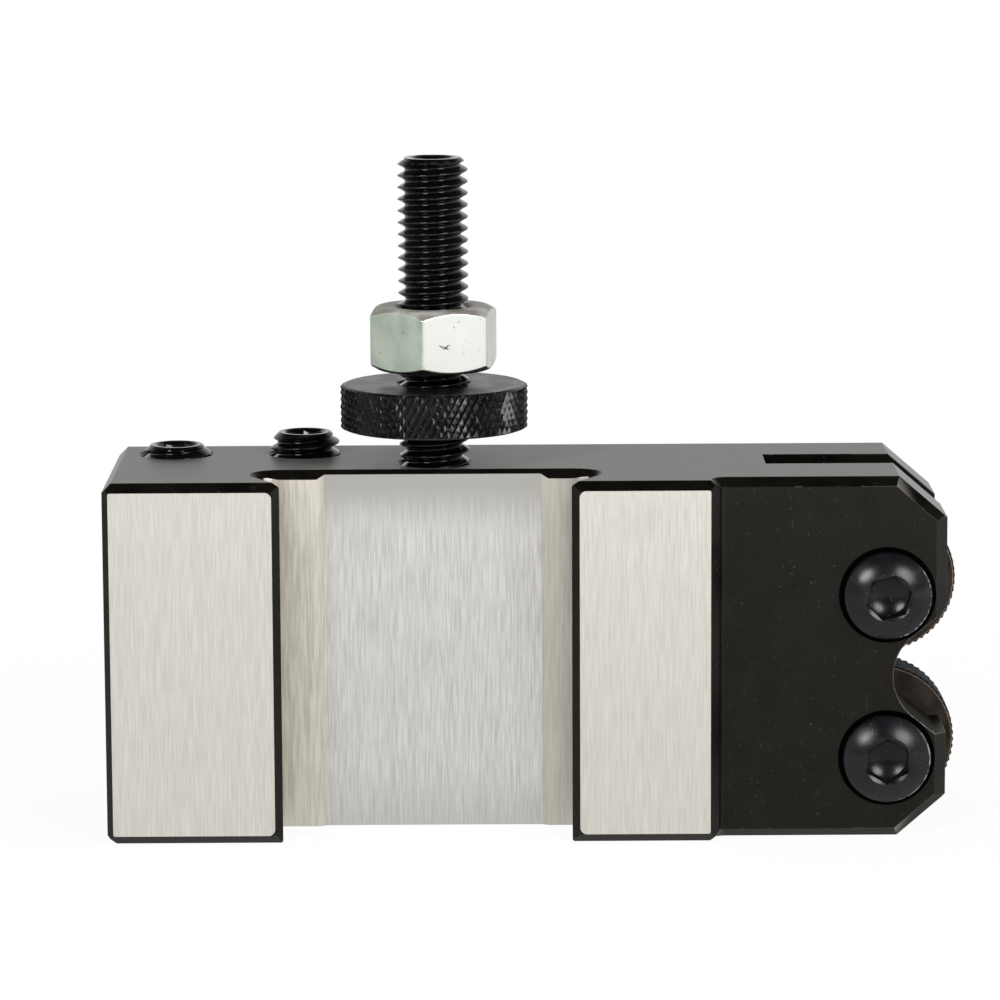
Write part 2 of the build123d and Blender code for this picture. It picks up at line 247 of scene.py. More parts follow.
# Effect: bare metal along edges that hands, tools and other parts have rubbed
wear_group, wear_in, wear_out = start_group(
    "rubbed edges", {"Place": None, "Reach": 0.2 * MM, "Breakup": 900.0, "Share": 0.5}, ("Mask",)
)
rounded = add_node(wear_group, "Bevel", {"Radius": wear_in["Reach"]}, samples=6).outputs["Normal"]
true_normal = add_node(wear_group, "NewGeometry").outputs["True Normal"]
flatness = add_node(
    wear_group, "VectorMath", {0: rounded, 1: true_normal}, operation="DOT_PRODUCT"
).outputs["Value"]
edge = ramp(wear_group, flatness, 0.985, 0.90)
patch_limit = calculate(wear_group, "MULTIPLY_ADD", wear_in["Share"], -0.5, 0.75)
patches = noise(wear_group, wear_in["Place"], wear_in["Breakup"], 3.0)
patches = calculate(wear_group, "GREATER_THAN", patches, patch_limit)
wear_out("Mask", all_of(wear_group, edge, patches))

# Effect: a patch with rounded corners on a flat face, given by its four sides
patch_group, patch_in, patch_out = start_group(
    "rounded patch",
    {"Across": 0.0, "Up": 0.0, "Left": 0.0, "Right": 1.0, "Bottom": 0.0, "Top": 1.0, "Corner": 0.1},
    ("Mask",),
)
overhangs = []
for along, low, high in (("Across", "Left", "Right"), ("Up", "Bottom", "Top")):
    span = calculate(patch_group, "SUBTRACT", patch_in[high], patch_in[low])
    middle = calculate(patch_group, "MULTIPLY_ADD", span, 0.5, patch_in[low])
    distance = calculate(patch_group, "SUBTRACT", patch_in[along], middle)
    distance = calculate(patch_group, "ABSOLUTE", distance)
    straight = calculate(patch_group, "MULTIPLY", span, 0.5)
    straight = calculate(patch_group, "SUBTRACT", straight, patch_in["Corner"])
    overhang = calculate(patch_group, "SUBTRACT", distance, straight)
    overhangs.append(calculate(patch_group, "MAXIMUM", overhang, 0.0))
corner_place = add_node(patch_group, "CombineXYZ", {"X": overhangs[0], "Y": overhangs[1]}).outputs[0]
beyond = add_node(patch_group, "VectorMath", {0: corner_place}, operation="LENGTH").outputs["Value"]
outside = calculate(patch_group, "SUBTRACT", beyond, patch_in["Corner"])
patch_out("Mask", ramp(patch_group, outside, 0.03 * MM, -0.03 * MM))

block_steel, tree, shader = start_material("blackened and ground block")
place, (across, into, up), (facing_x, facing_y, facing_z) = read_surface(tree)


def block_patch(along, left, right, bottom, top, corner):
    """One patch with rounded corners, in the plane of the given direction and Z."""
    return use_group(
        tree, patch_group, Across=along, Up=up,
        Left=left, Right=right, Bottom=bottom, Top=top, Corner=corner,
    )["Mask"]


def ground_land(left, right, past_left, past_right):
    """A land's patch, whose corners are rounder beside the dovetail than at its outer end."""
    tight = block_patch(across, left, right, patch_bottom, patch_top, outer_corner)
    loose = block_patch(across, left - past_left, right + past_right, patch_bottom, patch_top, lip_corner)
    return all_of(tree, tight, loose)


# Where the block is ground bright
patch_bottom = block_low.z + edge_break
patch_top = block_high.z - edge_break
left_land = ground_land(block_low.x + tool_end_break, -mouth_half - lip_width, far_past, 0.0)
right_land = ground_land(mouth_half + lip_width, land_end - edge_break, 0.0, far_past)
on_land_plane = calculate(tree, "LESS_THAN", into, 0.02 * MM)
lands = all_of(tree, any_of(tree, left_land, right_land), on_land_plane)
facing_out = calculate(tree, "LESS_THAN", facing_y, -0.82)
dovetail_floor = all_of(tree, facing_out, within(tree, into, floor_middle, floor_reach))
flanks = all_of(
    tree,
    block_patch(into, lip_width, flank_deep_end, block_low.z, patch_top, flank_corner),
    within(tree, across, 0.0, dovetail_half),
    calculate(tree, "GREATER_THAN", calculate(tree, "ABSOLUTE", facing_x), 0.5),
)
upright = within(tree, facing_z, 0.0, 0.4)
ground = all_of(tree, upright, any_of(tree, lands, dovetail_floor, flanks))

# Where the black is worn or rougher, and where a dark ring of painted shade lies round the axle screws'
# heads
grain = use_group(tree, grain_group, Place=place)
oxide = use_group(tree, oxide_group, Place=place)
at_fork = calculate(tree, "GREATER_THAN", across, fork_start)
# Bare metal painted along the edges at the fork, strongest along the notch's lower edge, as painted
# highlight
fork_edge_highlight = use_group(tree, wear_group, Place=place, Reach=0.16 * MM, Share=1.2)["Mask"]
rubbed = use_group(tree, wear_group, Place=place, Reach=0.22 * MM, Share=0.3)["Mask"]
rubbed = any_of(tree, rubbed, all_of(tree, fork_edge_highlight, at_fork))
notch_edge_highlight = all_of(tree, at_fork, within(tree, up, notch_low, notch_low_reach))
rubbed_edge_and_highlight = all_of(tree, rubbed, ramp(tree, notch_edge_highlight, 0.0, 1.0, 0.55, 0.95))
on_top = all_of(
    tree,
    calculate(tree, "GREATER_THAN", facing_z, 0.9),
    calculate(tree, "GREATER_THAN", up, block_high.z - 0.2 * MM),
)
in_notch = all_of(
    tree,
    block_patch(
        across, notch_start, block_high.x + far_past,
        notch_middle - notch_half, notch_middle + notch_half, notch_corner,
    ),
    ramp(tree, facing_z, 0.95, 0.85, 0.35, 1.0),
    within(tree, facing_y, 0.0, 0.6),
)
# A near-black ring round each axle screw's head is painted shade
shade_ring_patches = []
for axle_low, axle_high in axle_boxes:
    middle = (axle_low + axle_high) / 2
    shade_ring_patches.append(
        block_patch(
            across, middle.x - shade_ring_radius, middle.x + shade_ring_radius,
            middle.z - shade_ring_radius, middle.z + shade_ring_radius, shade_ring_radius,
        )
    )
head_ring_shade = all_of(tree, any_of(tree, *shade_ring_patches), calculate(tree, "LESS_THAN", into, shade_ring_reach))

# Colour of the ground steel; recess and relief are darker than the lands, partly as painted shade
# Painted shade darkens the relief toward both its ends; the recess is darker on its right half
relief_end_shade = any_of(tree, ramp(tree, up, 0.040, 0.0475), ramp(tree, up, 0.009, 0.0, 0.0, 0.4))
relief_colour = blend(tree, grain["Tone"], *relief_tones_with_shade)
relief_colour = blend(tree, relief_end_shade, relief_colour, relief_end_shade_tone)
far_side = calculate(tree, "MULTIPLY", calculate(tree, "GREATER_THAN", across, 0.0), 0.5)
recess_colour = blend(tree, grain["Tone"], *recess_tones_with_shade)
recess_colour = blend(tree, far_side, recess_colour, far_recess_tone)
in_relief = calculate(tree, "GREATER_THAN", into, floor_depth + 0.5 * MM)
recess_colour = blend(tree, in_relief, recess_colour, relief_colour)
land_colour = blend(tree, grain["Tone"], *land_tones)
steel_colour = blend(tree, on_land_plane, recess_colour, land_colour)

# Colour of the black, painted grey on top: a painted sheen standing for the pale surround's reflection
top_sheen = all_of(tree, on_top, ramp(tree, oxide["Cloud"], 0.0, 1.0, 0.8, 1.0))
block_colour = blend(tree, oxide["Cloud"], *oxide_tones)
block_colour = blend(tree, top_sheen, block_colour, top_sheen_tone)
block_colour = blend(
    tree, calculate(tree, "MULTIPLY", oxide["Specks"], 0.16), block_colour, speck_tone
)
# Edges in bare metal: real rubbed wear, with painted highlight at the fork and the notch
block_colour = blend(tree, rubbed_edge_and_highlight, block_colour, rubbed_edge_and_highlight_tone)
block_colour = blend(tree, ground, block_colour, steel_colour)
# Painted shade: near-black metal in a ring round the axle screws' heads
block_colour = blend(tree, head_ring_shade, block_colour, head_ring_shade_tone)

oxide_roughness = ramp(tree, oxide["Cloud"], 0.0, 1.0, 0.27, 0.30)
oxide_roughness = calculate(tree, "MULTIPLY_ADD", in_notch, 0.5, oxide_roughness)
oxide_roughness = calculate(tree, "MULTIPLY_ADD", on_top, 0.10, oxide_roughness)
steel_roughness = ramp(tree, grain["Tone"], 0.0, 1.0, 0.42, 0.34)
oxide_relief = fine_relief(tree, oxide["Height"], 0.004 * MM, 0.5)
steel_relief = fine_relief(tree, grain["Height"], 0.012 * MM, 0.6)
feed(
    tree, shader, Base_Color=block_colour, Metallic=any_of(tree, ground, rubbed_edge_and_highlight, head_ring_shade),
    Roughness=blend(tree, ground, oxide_roughness, steel_roughness, "FLOAT"),
    Normal=blend(tree, ground, oxide_relief, steel_relief, "VECTOR"),
    Specular_IOR_Level=0.18, Specular_Tint=oxide_tint,
)


def soften(piece, width, limit=32.0):
    """Breaks a piece's sharp edges with a fine round bevel."""
    weld = piece.modifiers.new("join split corners", "WELD")
    weld.merge_threshold = 0.001 * MM
    bevel = piece.modifiers.new("broken edges", "BEVEL")
    bevel.width = width
    bevel.segments = 2
    bevel.limit_method = "ANGLE"
    bevel.angle_limit = radians(limit)
    bevel.use_clamp_overlap = True
    piece.modifiers.new("even shading", "WEIGHTED_NORMAL")


block = nodes["holder_body"]
for material_slot in block.material_slots:
    material_slot.material = block_steel
soften(block, fine_bevel)


# Height stud. A socket screw with a coarse rolled thread, blackened and oiled, which stands in a
# blind hole in the block's top. The crests of its thread have rubbed a little brighter.
stud_low, stud_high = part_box("height_stud")
stud_axis = (stud_low + stud_high) / 2
stud_axis.z = 0.0
thread_pitch = 1.5875 * MM
thread_depth = 0.98 * MM
screw_radius = (stud_high.x - stud_low.x) / 2
screw_bevel = 0.9 * MM
screw_key = 4.76 * MM
stud_key_depth = 5.0 * MM
stud_crest = 89.75 * MM      # height at which a crest passes the stud's left side
screw_columns = 72
drill_slope = tan(radians(31))
mouth_wear = 0.3
# Share of the pitch along the thread, and share of its depth there
thread_profile = (
    (0.00, 0.0), (0.035, 0.004), (0.06, 0.022), (0.085, 0.07), (0.23, 0.477), (0.375, 0.884),
    (0.407, 0.945), (0.451, 0.986), (0.50, 1.0), (0.549, 0.986), (0.593, 0.945), (0.625, 0.884),
    (0.77, 0.477), (0.915, 0.07), (0.94, 0.022), (0.965, 0.004),
)


def about_axis(origin, sideways, upwards, along):
    """A function that places a point by its radius, angle and height about an axis."""

    def spot(radius, angle, height):
        return origin + sideways * (radius * cos(angle)) + upwards * (radius * sin(angle)) + along * height

    return spot


def column_angles(columns, start=0.0):
    """The angles of evenly spaced columns round an axis."""
    return [start + 2 * pi * column / columns for column in range(columns)]


def hexagon_reach(across_flats, turn):
    """A function that gives a hexagon's radius at any angle."""

    def reach(angle):
        return across_flats / 2 / cos((angle - turn) % (pi / 3) - pi / 6)

    return reach


def start_shape():
    """An empty mesh that keeps how worn each of its corners is."""
    shape = bmesh.new()
    shape.verts.layers.float.new("wear")
    return shape


def add_corner(shape, place, wear):
    """One corner of a mesh, and how worn it is."""
    corner = shape.verts.new(place)
    corner[shape.verts.layers.float["wear"]] = wear
    return corner


def add_ring(shape, spot, angles, radius, height, wear=0.0):
    """A ring of corners; its radius, height and wear are numbers or functions of the angle."""
    ring = []
    for angle in angles:
        reach, level, worn = (
            measure(angle) if callable(measure) else measure for measure in (radius, height, wear)
        )
        ring.append(add_corner(shape, spot(reach, angle, level), worn))
    return ring


def add_face(shape, corners):
    """A face on some corners, each counted once; two corners or fewer make none."""
    distinct = list(dict.fromkeys(corners))
    if len(distinct) > 2 and shape.faces.get(distinct) is None:
        shape.faces.new(distinct)


def join_rings(shape, *rings):
    """Faces from ring to ring; a ring of one corner closes the surface in a point."""
    for first, second in zip(rings, rings[1:]):
        count = max(len(first), len(second))
        for here in range(count):
            there = (here + 1) % count
            add_face(shape, (
                first[here % len(first)], first[there % len(first)],
                second[there % len(second)], second[here % len(second)],
            ))


def add_thread(shape, spot, angles, bottom, top, crest, bevel):
    """A screw thread between two heights, chamfered at both; returns its two end rings."""

    def corner_at(angle, level):
        share = ((level - crest) / thread_pitch - (angle - pi) / (2 * pi)) % 1.0
        for (start, start_drop), (end, end_drop) in zip(thread_profile, thread_profile[1:] + ((1.0, 0.0),)):
            if start <= share <= end:
                drop = start_drop + (end_drop - start_drop) * (share - start) / (end - start)
        limit = screw_radius - bevel + min(level - bottom, top - level)
        reach = min(screw_radius - drop * thread_depth, limit)
        return add_corner(shape, spot(reach, angle, level), 1.0 - min(drop * 4.0, 1.0))

    low_ring = [corner_at(angle, bottom) for angle in angles]
    high_ring = [corner_at(angle, top) for angle in angles]
    first_turn = -2 - int((crest - bottom) / thread_pitch)
    last_turn = 2 + int((top - crest) / thread_pitch)
    rows = [(turn, share) for turn in range(first_turn, last_turn + 1) for share, _ in thread_profile]
    columns = len(angles)
    grid = {}

    def grid_corner(row, column):
        if column == columns:
            row += len(thread_profile)
            column = 0
            if row >= len(rows):
                return high_ring[0]
        turn, share = rows[row]
        angle = angles[column]
        level = crest + thread_pitch * (turn + share + (angle - pi) / (2 * pi))
        if level <= bottom:
            return low_ring[column]
        if level >= top:
            return high_ring[column]
        if (row, column) not in grid:
            grid[row, column] = corner_at(angle, level)
        return grid[row, column]

    for row in range(len(rows) - 1):
        for column in range(columns):
            add_face(shape, (
                grid_corner(row, column), grid_corner(row, column + 1),
                grid_corner(row + 1, column + 1), grid_corner(row + 1, column),
            ))
    return low_ring, high_ring


def add_key_socket(
    shape, spot, angles, outer_ring, top, across_flats, turn, depth, mouth=0.18 * MM, slope=1.0
):
    """A hexagon socket with a coned mouth and a drill point, sunk from a ring at a screw's end."""
    reach = hexagon_reach(across_flats, turn)
    mouth_radius = across_flats / sqrt(3) + mouth
    drill_radius = across_flats / 2 * 0.98
    join_rings(
        shape,
        outer_ring,
        add_ring(shape, spot, angles, mouth_radius, top, mouth_wear),
        add_ring(shape, spot, angles, reach, lambda angle: top - slope * (mouth_radius - reach(angle))),
        add_ring(shape, spot, angles, reach, top - depth),
        add_ring(shape, spot, angles, drill_radius, top - depth),
        [shape.verts.new(spot(0.0, 0.0, top - depth - drill_radius * drill_slope))],
    )


def make_piece(name, shape, material, smooth_limit):
    """Turns a finished shape into an object with its material and smooth curved surfaces."""
    bmesh.ops.recalc_face_normals(shape, faces=shape.faces)
    data = bpy.data.meshes.new(name)
    shape.to_mesh(data)
    shape.free()
    data.polygons.foreach_set("use_smooth", [True] * len(data.polygons))
    data.set_sharp_from_angle(angle=radians(smooth_limit))
    data.materials.append(material)
    piece = bpy.data.objects.new(name, data)
    bpy.context.scene.collection.objects.link(piece)
    return piece


def blackened(name, dark, light, bare, roughness, share, gloss, scale, bump, wear, crests, dull_ends=0.0):
    """A blackened and oiled finish, worn to bare metal at edges and crests."""
    material, tree, shader = start_material(name)
    place, _, (_, _, facing_up) = read_surface(tree)
    oxide = use_group(tree, oxide_group, Place=place, Scale=scale)
    rubbed = use_group(tree, wear_group, Place=place, Reach=0.12 * MM, Share=share, Breakup=1500.0)["Mask"]
    rubbed = calculate(tree, "MULTIPLY", any_of(tree, rubbed, oxide["Specks"]), wear)
    crest = add_node(tree, "Attribute", attribute_name="wear").outputs["Fac"]
    glint = ramp(tree, noise(tree, place, 1300.0, 2.0), 0.4, 0.7, 0.0, 0.8)
    crest = all_of(tree, ramp(tree, crest, 0.55, 1.0), glint)
    worn = any_of(tree, rubbed, calculate(tree, "MULTIPLY", crest, crests))
    turned_end = calculate(tree, "GREATER_THAN", calculate(tree, "ABSOLUTE", facing_up), 0.9)
    clouded = ramp(tree, oxide["Cloud"], 0.0, 1.0, roughness * 0.85, roughness * 1.15)
    feed(
        tree, shader, Metallic=worn, Specular_IOR_Level=gloss,
        Base_Color=blend(tree, worn, blend(tree, oxide["Cloud"], dark, light), bare),
        Roughness=calculate(tree, "MULTIPLY_ADD", turned_end, dull_ends, clouded),
        Normal=fine_relief(tree, oxide["Height"], bump, 0.6),
    )
    return material


screw_black = blackened(
    "blackened screw", (0.0008, 0.0008, 0.001, 1), (0.002, 0.002, 0.0024, 1), (0.30, 0.29, 0.28, 1),
    roughness=0.12, share=0.0, gloss=0.27, scale=400.0, bump=0.0015 * MM, wear=0.06, crests=0.06,
)
screw_angles = column_angles(screw_columns)
upright_x, upright_y, upright_z = Vector((1, 0, 0)), Vector((0, 1, 0)), Vector((0, 0, 1))
shape = start_shape()
about_stud = about_axis(stud_axis, upright_x, upright_y, upright_z)
stud_foot, stud_crown = add_thread(
    shape, about_stud, screw_angles, stud_low.z, stud_high.z, stud_crest, screw_bevel
)
join_rings(shape, stud_foot, [shape.verts.new(about_stud(0.0, 0.0, stud_low.z))])
add_key_socket(shape, about_stud, screw_angles, stud_crown, stud_high.z, screw_key, 0.0, stud_key_depth)
stud = make_piece("height_stud_threaded", shape, screw_black, 55.0)
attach(stud, "holder")
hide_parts("height_stud")


# Height nut. A turned steel disc with a diamond knurl rolled into its rim, blackened. Turned down
# on the stud, it rests on the tool post's top and sets how high the tool stands.
nut_low, nut_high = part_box("height_nut")
nut_radius = (nut_high.x - nut_low.x) / 2
nut_bevel = 0.25 * MM
nut_thread = screw_radius + 0.05 * MM
nut_mouth = 5.3 * MM
knurl_columns = 156          # two to each diamond
knurl_rows = 6
knurl_depth = 0.42 * MM
knurl_jitter = 0.09 * MM
peak_wear = 0.85
groove_wear = 0.2

nut_black = blackened(
    "blackened knurled nut", (0.0015, 0.0015, 0.002, 1), (0.004, 0.004, 0.005, 1), (0.50, 0.50, 0.50, 1),
    roughness=0.22, share=0.2, gloss=0.17, scale=320.0, bump=0.004 * MM, wear=0.3, crests=0.35,
    dull_ends=0.11,
)
shape = start_shape()
nut_angles = column_angles(knurl_columns)
chance = Random(7)
rim_bottom = nut_low.z + nut_bevel
rim_step = (nut_high.z - nut_low.z - 2 * nut_bevel) / knurl_rows


def groove_depths(angle):
    """How deep the two crossing families of grooves are pressed, which drifts round the rim."""
    drift = 0.48 + 0.25 * sin(angle + 2.6) + 0.2 * sin(11 * angle + 2.1)
    return knurl_depth * (1.0 - 0.7 * drift), knurl_depth * (0.75 + 0.25 * drift)


def rim_corner(row, column, drop, wear):
    """A corner of the knurled rim, at any row and column of its grid."""
    angle = 2 * pi * column / knurl_columns
    return add_corner(shape, about_stud(nut_radius - drop, angle, rim_bottom + row * rim_step), wear)


rim_rings = []
for row in range(knurl_rows + 1):
    ring = []
    for column in range(knurl_columns):
        if (row + column) % 2 == 1:
            ring.append(rim_corner(row, column, chance.random() * knurl_jitter, chance.random() * peak_wear))
        else:
            ring.append(rim_corner(row, column, max(groove_depths(2 * pi * column / knurl_columns)), 0.0))
    rim_rings.append(ring)
for row in range(knurl_rows):
    for column in range(knurl_columns):
        beside = (column + 1) % knurl_columns
        around = (
            rim_rings[row][column], rim_rings[row][beside],
            rim_rings[row + 1][beside], rim_rings[row + 1][column],
        )
        depths = groove_depths(2 * pi * (column + 0.5) / knurl_columns)
        centre = rim_corner(row + 0.5, column + 0.5, depths[(row + column + 1) % 2], groove_wear)
        for first, second in zip(around, around[1:] + around[:1]):
            shape.faces.new((first, second, centre))
mouth_drop = nut_mouth - nut_thread
face_edge = nut_radius - knurl_depth - nut_bevel
high_thread = add_ring(shape, about_stud, nut_angles, nut_thread, nut_high.z - mouth_drop)
low_thread = add_ring(shape, about_stud, nut_angles, nut_thread, nut_low.z + mouth_drop)
join_rings(
    shape,
    rim_rings[-1],
    add_ring(shape, about_stud, nut_angles, face_edge, nut_high.z, 0.7),
    add_ring(shape, about_stud, nut_angles, nut_mouth, nut_high.z, 0.5),
    high_thread,
    low_thread,
    add_ring(shape, about_stud, nut_angles, nut_mouth, nut_low.z),
    add_ring(shape, about_stud, nut_angles, face_edge, nut_low.z),
    rim_rings[0],
)
height_nut = make_piece("height_nut_knurled", shape, nut_black, 25.0)
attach(height_nut, "height_nut")
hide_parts("height_nut")


# Lock nut. A zinc-plated hexagon nut with crowned corners, which locks the height nut when it is
# screwed down on it. The plating is smooth and slightly green, with a few pits and a scuff from the
# spanner. Its front face is painted neutral as painted light, and its right face darker as painted shade.
lock_low, lock_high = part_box("lock_nut")
lock_across = 15.9 * MM
lock_turn = radians(21.5)
lock_face = 7.5 * MM
lock_bevel = 0.22 * MM
crown_slope = tan(radians(30))
lock_columns = 96
scuff_inside = 0.06 * MM
scuff_outside = 0.16 * MM
scuff_ragged = 0.3 * MM

green_tones = (0.46, 0.53, 0.445, 1), (0.56, 0.63, 0.54, 1)
crown_tones = (0.20, 0.185, 0.155, 1), (0.38, 0.38, 0.345, 1)
lit_face_tone = (0.535, 0.535, 0.515, 1)
shaded_side_tone = (0.44, 0.455, 0.415, 1)
pit_tone = (0.16, 0.15, 0.12, 1)
rubbed_tone = (0.88, 0.88, 0.86, 1)
scuff_tone = (0.10, 0.085, 0.06, 1)

zinc, tree, shader = start_material("zinc plated nut")
place, (lock_x, lock_y, lock_z), (lock_facing_x, _, lock_facing_z) = read_surface(tree)
on_front = calculate(tree, "LESS_THAN", lock_y, stud_axis.y)
pitting = noise(tree, place, 1900.0, 2.0)
pits = calculate(tree, "MULTIPLY", ramp(tree, pitting, 0.66, 0.74), 0.55)
film = noise(tree, place, 240.0, 5.0)
rubbed = use_group(tree, wear_group, Place=place, Reach=0.3 * MM, Share=0.8)["Mask"]
rubbed = calculate(tree, "MULTIPLY", rubbed, 0.6)
turned_crown = ramp(tree, lock_facing_z, 0.25, 0.45)
crown_colour = blend(tree, ramp(tree, film, 0.4, 0.65), *crown_tones)
zinc_colour = blend(tree, ramp(tree, film, 0.35, 0.65), *green_tones)
# Painted light and shade by the way a face turns: neutral in front, darker to the right
zinc_colour = blend(tree, ramp(tree, lock_facing_x, -0.3, 0.2, 0.0, 0.9), zinc_colour, lit_face_tone)
zinc_colour = blend(tree, ramp(tree, lock_facing_x, 0.6, 0.9), zinc_colour, shaded_side_tone)
zinc_colour = blend(tree, pits, zinc_colour, pit_tone)
zinc_colour = blend(tree, rubbed, zinc_colour, rubbed_tone)
zinc_colour = blend(tree, turned_crown, zinc_colour, crown_colour)


def scuff_mark(middle_x, middle_z, slant, length):
    """A short ragged scratch on the nut's front, given by its middle, its slant and its length."""
    past_x = calculate(tree, "SUBTRACT", lock_x, middle_x)
    past_z = calculate(tree, "SUBTRACT", lock_z, middle_z)
    along = calculate(tree, "ABSOLUTE", calculate(tree, "ADD", past_x, past_z))
    aside = calculate(tree, "SUBTRACT", past_z, calculate(tree, "MULTIPLY", past_x, slant))
    ragged = calculate(tree, "MULTIPLY", calculate(tree, "SUBTRACT", pitting, 0.5), scuff_ragged)
    aside = calculate(tree, "ADD", calculate(tree, "ABSOLUTE", aside), ragged)
    return all_of(
        tree,
        ramp(tree, aside, scuff_outside, scuff_inside),
        ramp(tree, along, length * 1.2, length),
        on_front,
    )


for scuff in (
    scuff_mark(2.8 * MM, 65.8 * MM, 0.8, 0.6 * MM),
    scuff_mark(2.55 * MM, 65.75 * MM, -0.35, 0.35 * MM),
):
    zinc_colour = blend(tree, scuff, zinc_colour, scuff_tone)
film_roughness = ramp(tree, film, 0.3, 0.7, 0.26, 0.36)
feed(
    tree, shader, Base_Color=zinc_colour, Normal=fine_relief(tree, film, 0.02 * MM, 0.5),
    Metallic=calculate(tree, "MULTIPLY_ADD", turned_crown, -0.8, 1.0),
    Roughness=calculate(tree, "MULTIPLY_ADD", turned_crown, 0.2, film_roughness),
)

shape = start_shape()
lock_angles = column_angles(lock_columns, lock_turn)
lock_reach = hexagon_reach(lock_across, lock_turn)


def crown_drop(angle):
    """How far below the nut's end its crown meets a side, at any angle."""
    return (lock_reach(angle) - lock_face) * crown_slope


lock_low_thread = add_ring(shape, about_stud, lock_angles, nut_thread, lock_low.z + mouth_drop)
join_rings(
    shape,
    lock_low_thread,
    add_ring(shape, about_stud, lock_angles, nut_mouth, lock_low.z),
    add_ring(shape, about_stud, lock_angles, lock_face, lock_low.z),
    add_ring(shape, about_stud, lock_angles, lock_reach, lambda angle: lock_low.z + crown_drop(angle)),
    add_ring(shape, about_stud, lock_angles, lock_reach, lambda angle: lock_high.z - crown_drop(angle)),
    add_ring(shape, about_stud, lock_angles, lock_face, lock_high.z),
    add_ring(shape, about_stud, lock_angles, nut_mouth, lock_high.z),
    add_ring(shape, about_stud, lock_angles, nut_thread, lock_high.z - mouth_drop),
    lock_low_thread,
)
lock_nut = make_piece("lock_nut_plated", shape, zinc, 25.0)
soften(lock_nut, lock_bevel, 25.0)
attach(lock_nut, "lock_nut")
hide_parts("lock_nut")


# Clamp screws. Two headless socket screws with cup points, blackened and oiled like the stud.
# They come down through the block's top and press the cutting tool down in its slot.
clamp_key_depth = 5.5 * MM
clamp_cup = 2.6 * MM
clamp_bevel = 1.2 * MM
cup_slope = tan(radians(31))

for name, body, crest_rise, key_turn in (
    ("clamp_screw_outer", "outer_clamp_screw", 0.35 * MM, radians(12)),
    ("clamp_screw_inner", "inner_clamp_screw", 0.60 * MM, radians(40)),
):
    clamp_low, clamp_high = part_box(name)
    clamp_axis = (clamp_low + clamp_high) / 2
    clamp_axis.z = 0.0
    spot = about_axis(clamp_axis, upright_x, upright_y, upright_z)
    angles = column_angles(screw_columns, key_turn)
    shape = start_shape()
    foot, crown = add_thread(
        shape, spot, angles, clamp_low.z, clamp_high.z, clamp_high.z - crest_rise, clamp_bevel
    )
    join_rings(
        shape,
        foot,
        add_ring(shape, spot, angles, clamp_cup, clamp_low.z),
        [shape.verts.new(spot(0.0, 0.0, clamp_low.z + clamp_cup * cup_slope))],
    )
    add_key_socket(shape, spot, angles, crown, clamp_high.z, screw_key, key_turn, clamp_key_depth)
    clamp_screw = make_piece(name + "_threaded", shape, screw_black, 55.0)
    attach(clamp_screw, body)
    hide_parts(name)


# Knurling wheels. Hardened rollers with slanting teeth, one right-hand and one left-hand, which
# turn on the axle screws between the cheeks. Their flat sides are brown from the hardening, and
# copper shows along the rim.
wheel_teeth = 64
tooth_depth = 0.30 * MM
tooth_slant = radians(30)
wheel_bevel = 0.32 * MM
wheel_rows = 8
wheel_bore = 4.05 * MM
bore_bevel = 0.3 * MM

side_tones = (0.017, 0.0135, 0.0105, 1), (0.036, 0.030, 0.023, 1)
tooth_tones = (0.003, 0.004, 0.005, 1), (0.007, 0.008, 0.010, 1)
copper_tone = (0.55, 0.38, 0.28, 1)
tooth_crest_tone = (0.30, 0.30, 0.31, 1)

wheel_steel, tree, shader = start_material("hardened wheel steel")
place, _, (_, facing_y, _) = read_surface(tree)
on_side = calculate(tree, "GREATER_THAN", calculate(tree, "ABSOLUTE", facing_y), 0.8)
oxide = use_group(tree, oxide_group, Place=place, Scale=420.0)
rubbed = use_group(tree, wear_group, Place=place, Reach=0.2 * MM, Share=1.3, Breakup=1200.0)["Mask"]
crest = add_node(tree, "Attribute", attribute_name="wear").outputs["Fac"]
crest = calculate(tree, "MULTIPLY", ramp(tree, crest, 0.8, 1.0), 0.15)
side_colour = blend(tree, oxide["Cloud"], *side_tones)
tooth_colour = blend(tree, oxide["Cloud"], *tooth_tones)
wheel_colour = blend(tree, on_side, tooth_colour, side_colour)
wheel_colour = blend(tree, all_of(tree, rubbed, on_side), wheel_colour, copper_tone)
wheel_colour = blend(tree, crest, wheel_colour, tooth_crest_tone)
feed(
    tree, shader, Base_Color=wheel_colour, Metallic=calculate(tree, "MULTIPLY", rubbed, 0.6),
    Roughness=ramp(tree, oxide["Cloud"], 0.0, 1.0, 0.5, 0.65), Specular_IOR_Level=0.06,
    Normal=fine_relief(tree, oxide["Height"], 0.008 * MM, 0.6),
)

